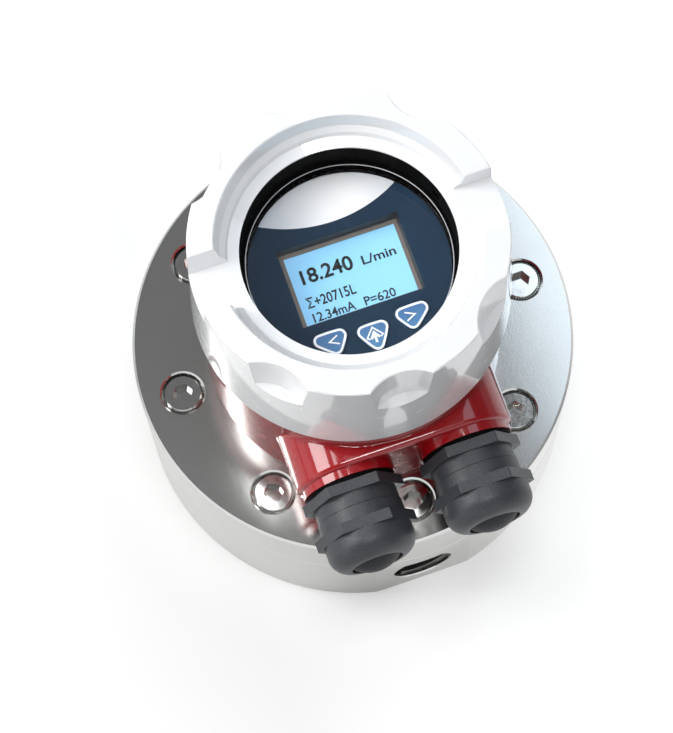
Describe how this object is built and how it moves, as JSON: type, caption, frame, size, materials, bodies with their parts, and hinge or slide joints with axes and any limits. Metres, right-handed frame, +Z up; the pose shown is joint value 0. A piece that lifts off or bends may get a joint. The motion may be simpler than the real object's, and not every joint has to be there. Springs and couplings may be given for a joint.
{
  "type": "gear flow meter",
  "caption": "Gear flow meter with a round stainless body, red instrument housing, paired cable glands and a white screw lid with a glass window over display and keys.",
  "frame": {"origin": "centre of the lower disc's foot, on the meter's axis", "axes": "+Z up along the meter's axis; the inlet port and both cable glands face -Y; the display reads along +X"},
  "size_m": [0.15, 0.1601, 0.16],
  "materials": {
    "stainless": "fine turned",
    "screw_steel": "bright",
    "gear_steel": "ground",
    "bronze": "machined",
    "nickel_brass": "nickel plated",
    "brass": "bright",
    "red_paint": "deep gloss",
    "white_paint": "gloss",
    "gland_nylon": "fine grain",
    "gland_rubber": "satin",
    "rubber": "satin",
    "gasket_black": "satin",
    "clear_glass": "polished",
    "circuit_board": "solder mask",
    "terminal_green": "satin",
    "display_frame": "satin",
    "black_plastic": "satin",
    "navy_panel": "printed film",
    "key_blue": "printed film"
  },
  "bodies": {
    "meter": {"meter_base": "stainless", "meter_cover": "stainless", "cover_screws": "screw_steel", "cover_seal": "rubber", "dowel_pins": "screw_steel", "bush_lower_left": "bronze", "bush_lower_right": "bronze", "bush_upper_left": "bronze", "bush_upper_right": "bronze", "pickup_sensor": "nickel_brass", "pickup_nut": "nickel_brass", "housing": "red_paint", "housing_seal": "rubber", "housing_screws": "screw_steel", "gland_body_left": "gland_nylon", "gland_body_right": "gland_nylon", "gland_washer_left": "rubber", "gland_washer_right": "rubber", "board_standoffs": "brass", "main_board": "circuit_board", "terminal_block": "terminal_green", "display_standoffs": "brass", "display_board": "circuit_board", "lcd_module": "display_frame", "display_bezel": "black_plastic", "panel_overlay": "navy_panel", "key_switches": "black_plastic"},
    "left_gear": {"gear_left": "gear_steel", "shaft_left": "screw_steel"},
    "right_gear": {"gear_right": "gear_steel", "shaft_right": "screw_steel"},
    "lid_rise": {"lid_seal": "rubber"},
    "lid": {"lid": "white_paint", "window_glass": "clear_glass", "window_gasket": "gasket_black", "gasket_ring": "black_plastic"},
    "plug_left": {"gland_plug_left": "gland_rubber"},
    "nut_left": {"gland_nut_left": "gland_nylon"},
    "plug_right": {"gland_plug_right": "gland_rubber"},
    "nut_right": {"gland_nut_right": "gland_nylon"},
    "key_left": {"key_left": "key_blue"},
    "key_up": {"key_up": "key_blue"},
    "key_right": {"key_right": "key_blue"}
  },
  "joints": [
    {"name": "left_gear_spin", "type": "hinge", "parent": "meter", "child": "left_gear", "pos_m": [-0.02025, 0, 0.0265], "axis": [0, 0, 1], "continuous": true},
    {"name": "right_gear_spin", "type": "hinge", "parent": "meter", "child": "right_gear", "pos_m": [0.02025, 0, 0.0265], "axis": [0, 0, 1], "continuous": true},
    {"name": "lid_lift", "type": "slide", "parent": "meter", "child": "lid_rise", "axis": [0, 0, 1], "range_m": [0, 0.016]},
    {"name": "lid_turn", "type": "hinge", "parent": "lid_rise", "child": "lid", "pos_m": [0, 0, 0.138], "axis": [0, 0, 1], "range_deg": [0, 2880]},
    {"name": "gland_left_lift", "type": "slide", "parent": "meter", "child": "plug_left", "axis": [0, -1, 0], "range_m": [0, 0.003]},
    {"name": "gland_left_turn", "type": "hinge", "parent": "plug_left", "child": "nut_left", "pos_m": [-0.02, -0.074, 0.0905], "axis": [0, -1, 0], "range_deg": [0, 720]},
    {"name": "gland_right_lift", "type": "slide", "parent": "meter", "child": "plug_right", "axis": [0, -1, 0], "range_m": [0, 0.003]},
    {"name": "gland_right_turn", "type": "hinge", "parent": "plug_right", "child": "nut_right", "pos_m": [0.02, -0.074, 0.0905], "axis": [0, -1, 0], "range_deg": [0, 720]},
    {"name": "key_left_press", "type": "slide", "parent": "meter", "child": "key_left", "axis": [0, 0, -1], "range_m": [0, 0.0005], "stiffness_N_per_m": 600},
    {"name": "key_up_press", "type": "slide", "parent": "meter", "child": "key_up", "axis": [0, 0, -1], "range_m": [0, 0.0005], "stiffness_N_per_m": 600},
    {"name": "key_right_press", "type": "slide", "parent": "meter", "child": "key_right", "axis": [0, 0, -1], "range_m": [0, 0.0005], "stiffness_N_per_m": 600}
  ],
  "couplings": [
    {"joint": "right_gear_spin", "follows": "left_gear_spin", "ratio": -1},
    {"joint": "lid_lift", "follows": "lid_turn", "m_per_rad": 0.00031831},
    {"joint": "gland_left_turn", "follows": "gland_left_lift", "rad_per_m": 4188.8},
    {"joint": "gland_right_turn", "follows": "gland_right_lift", "rad_per_m": 4188.8}
  ]
}
